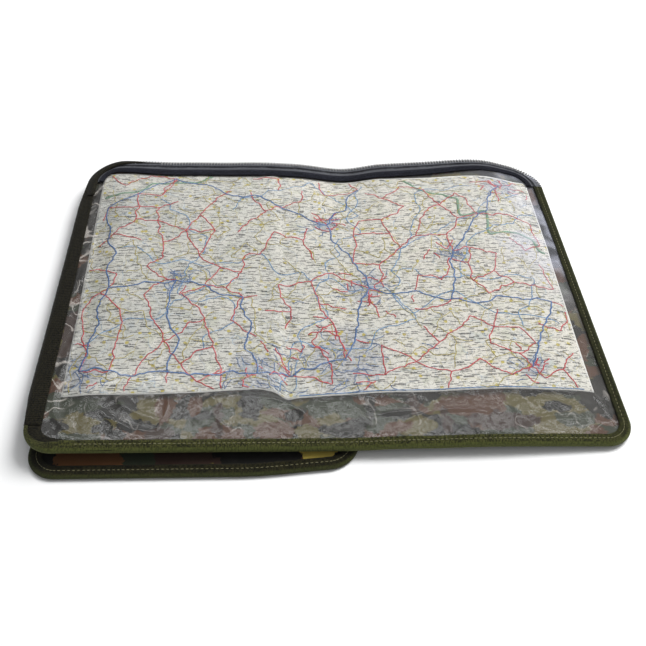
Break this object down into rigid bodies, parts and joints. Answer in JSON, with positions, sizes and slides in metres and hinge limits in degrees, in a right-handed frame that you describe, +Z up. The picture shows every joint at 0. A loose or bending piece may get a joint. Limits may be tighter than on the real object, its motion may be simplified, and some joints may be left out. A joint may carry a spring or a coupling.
{
  "type": "folding map case",
  "caption": "Folding cloth map case: a zipped map pocket with a clear window, taped edges, a cloth spine and a cover leaf folded under it.",
  "frame": {"origin": "on the table, under the middle of the case's outline", "axes": "+X across the case from its spine, +Y from its front edge to its zip, +Z up from the table"},
  "size_m": [0.5654, 0.4498, 0.0279],
  "materials": {
    "camouflage_cloth": "matte woven cloth printed in woodland camouflage",
    "clear_window": "clear flexible film, glossy, with soft wrinkles",
    "map_paper": "matte printed paper",
    "olive_tape": "ribbed olive binding tape with stitches",
    "dark_cloth": "matte dark woven cloth",
    "zip_tape": "finely ribbed grey tape",
    "zip_teeth": "satin moulded teeth",
    "slider_metal": "dark painted metal"
  },
  "bodies": {
    "root": {"pocket_back": "camouflage_cloth", "map_sheet": "map_paper", "pocket_window": "clear_window", "pocket_binding": "olive_tape", "spine_band": "dark_cloth", "window_hem": "dark_cloth", "zip_tape_upper": "zip_tape", "zip_tape_lower": "zip_tape", "zip_chain": "zip_teeth", "zip_slider": "slider_metal", "cover_leaf": "camouflage_cloth", "cover_binding": "olive_tape"}
  },
  "joints": []
}
